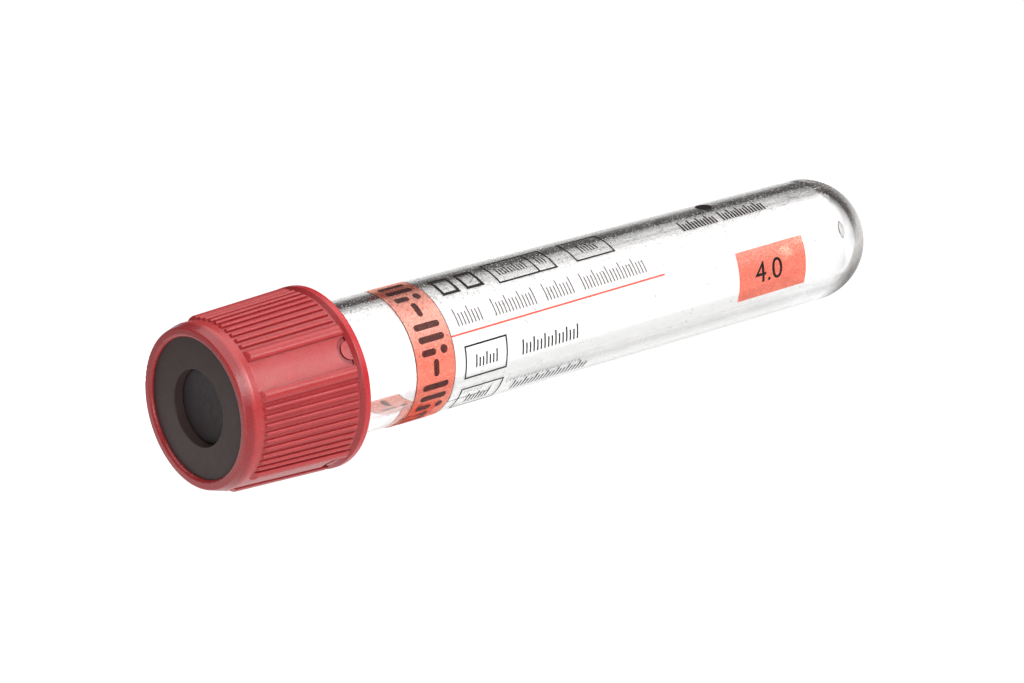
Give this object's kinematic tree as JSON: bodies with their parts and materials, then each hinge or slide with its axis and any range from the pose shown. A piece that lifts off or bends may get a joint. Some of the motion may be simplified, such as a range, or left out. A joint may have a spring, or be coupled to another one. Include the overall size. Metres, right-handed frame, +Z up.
{
  "type": "blood collection tube",
  "caption": "Round-bottomed clear sample tube lying on its side, with a film label and a ribbed screw cap that carries a rubber stopper under a flat ring.",
  "frame": {"origin": "on the surface it lies on, under the middle of its bounding box", "axes": "+X along the tube from the cap to the round bottom, +Z up; the tube's axis dips 2.23 degrees towards +X because it lies on its cap flange and its bottom"},
  "size_m": [0.0838, 0.0174, 0.0174],
  "materials": {
    "clear_plastic": "clear, glossy moulded PET",
    "label_film": "thin clear film with a translucent orange-red printed band and dark print",
    "cap_plastic": "satin moulded polyethylene, slightly translucent",
    "ring_plastic": "satin black moulded plastic",
    "stopper_rubber": "dark grey butyl rubber"
  },
  "bodies": {
    "vessel": {"tube": "clear_plastic", "label": "label_film"},
    "plug": {"stopper": "stopper_rubber"},
    "closure": {"cap": "cap_plastic", "ring": "ring_plastic"}
  },
  "joints": [
    {"name": "stopper_lift", "type": "slide", "parent": "vessel", "child": "plug", "axis": [-0.9992, 0, 0.0389], "range_m": [0, 0.0075]},
    {"name": "cap_turn", "type": "hinge", "parent": "plug", "child": "closure", "pos_m": [-0.03519, 0, 0.00899], "axis": [-0.9992, 0, 0.0389], "range_deg": [0, 270]}
  ],
  "couplings": [
    {"joint": "stopper_lift", "follows": "cap_turn", "m_per_rad": 0.0015915}
  ]
}
